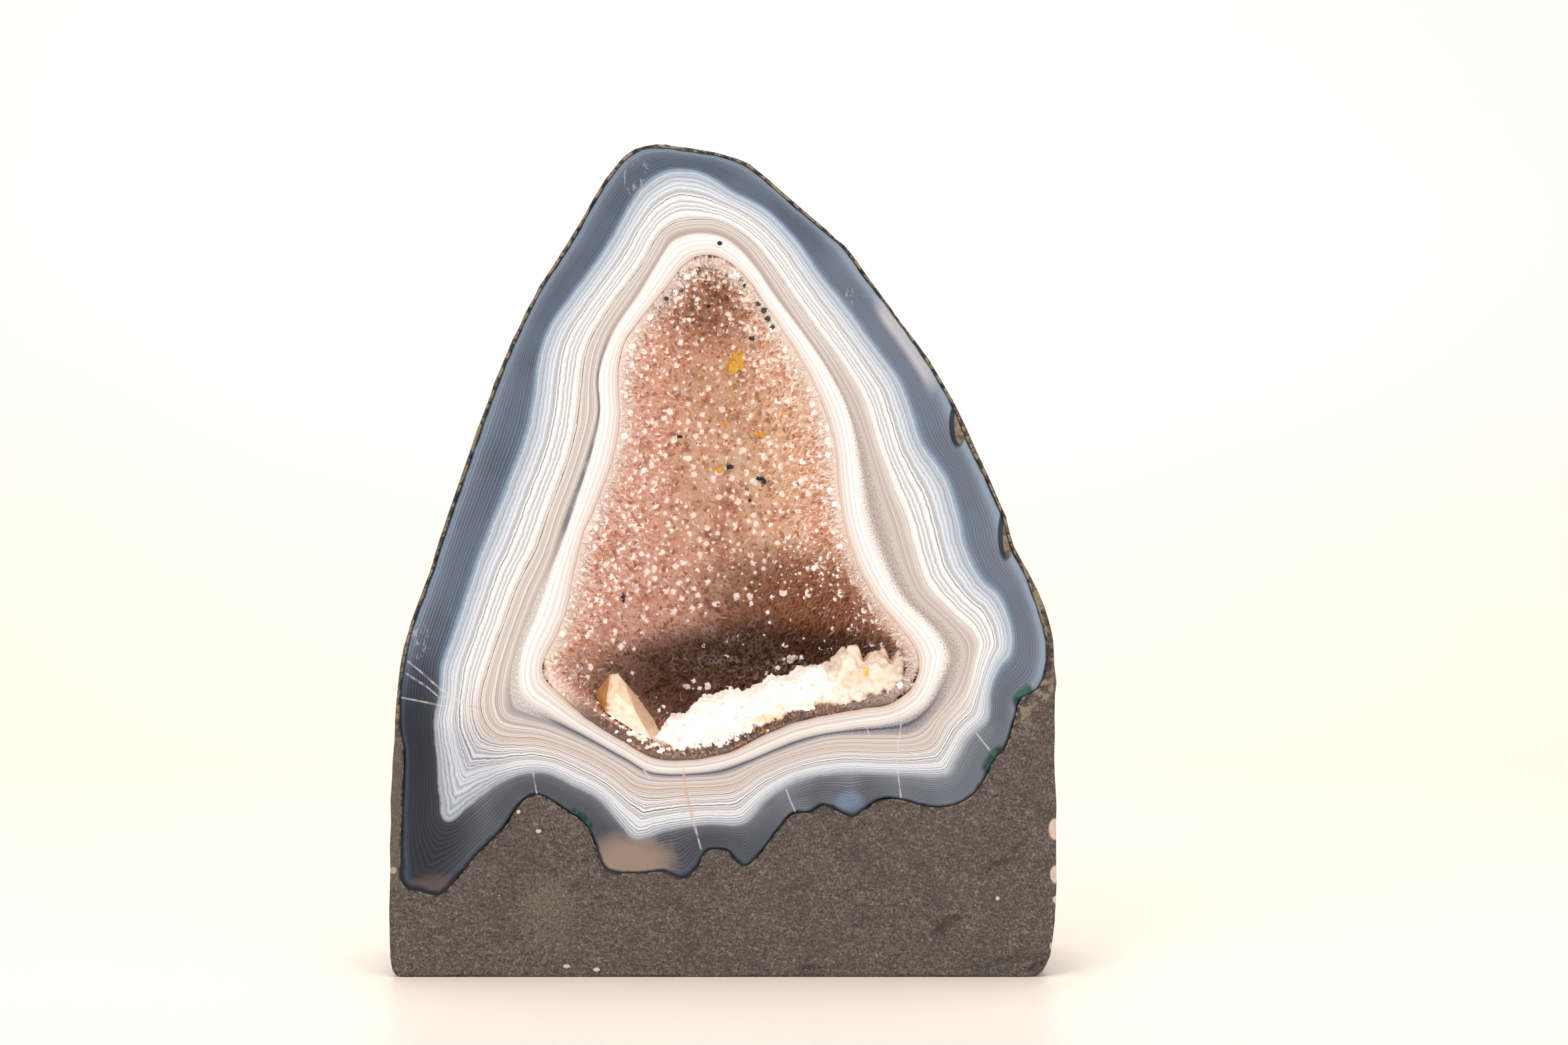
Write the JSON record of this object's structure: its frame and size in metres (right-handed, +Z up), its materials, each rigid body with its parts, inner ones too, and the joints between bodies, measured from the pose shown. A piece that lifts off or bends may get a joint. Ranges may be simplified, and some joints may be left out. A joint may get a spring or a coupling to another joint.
{
  "type": "blue lace agate geode",
  "caption": "Upright cut-base agate geode: a banded polished face with a pear-shaped crystal-lined hollow, in a dark host rock with a flat foot.",
  "frame": {"origin": "middle of the flat foot's bounding rectangle, at the height of the surface it stands on", "axes": "+Z up, longest way of the stone; the polished face looks towards -Y; +X is to the right as one looks at the face"},
  "size_m": [0.1297, 0.075, 0.1613],
  "materials": {
    "host_rock": "rough, dark grey-brown",
    "agate": "polished, finely banded blue, white and grey",
    "druse": "sparkling pink-brown crystals",
    "honey_calcite": "satin, waxy",
    "white_calcite": "matte, cream white"
  },
  "bodies": {
    "root": {"host_rock": "host_rock", "agate_wall": "agate", "druse_crust": "druse", "calcite_point": "honey_calcite", "calcite_cluster": "white_calcite"}
  },
  "joints": []
}
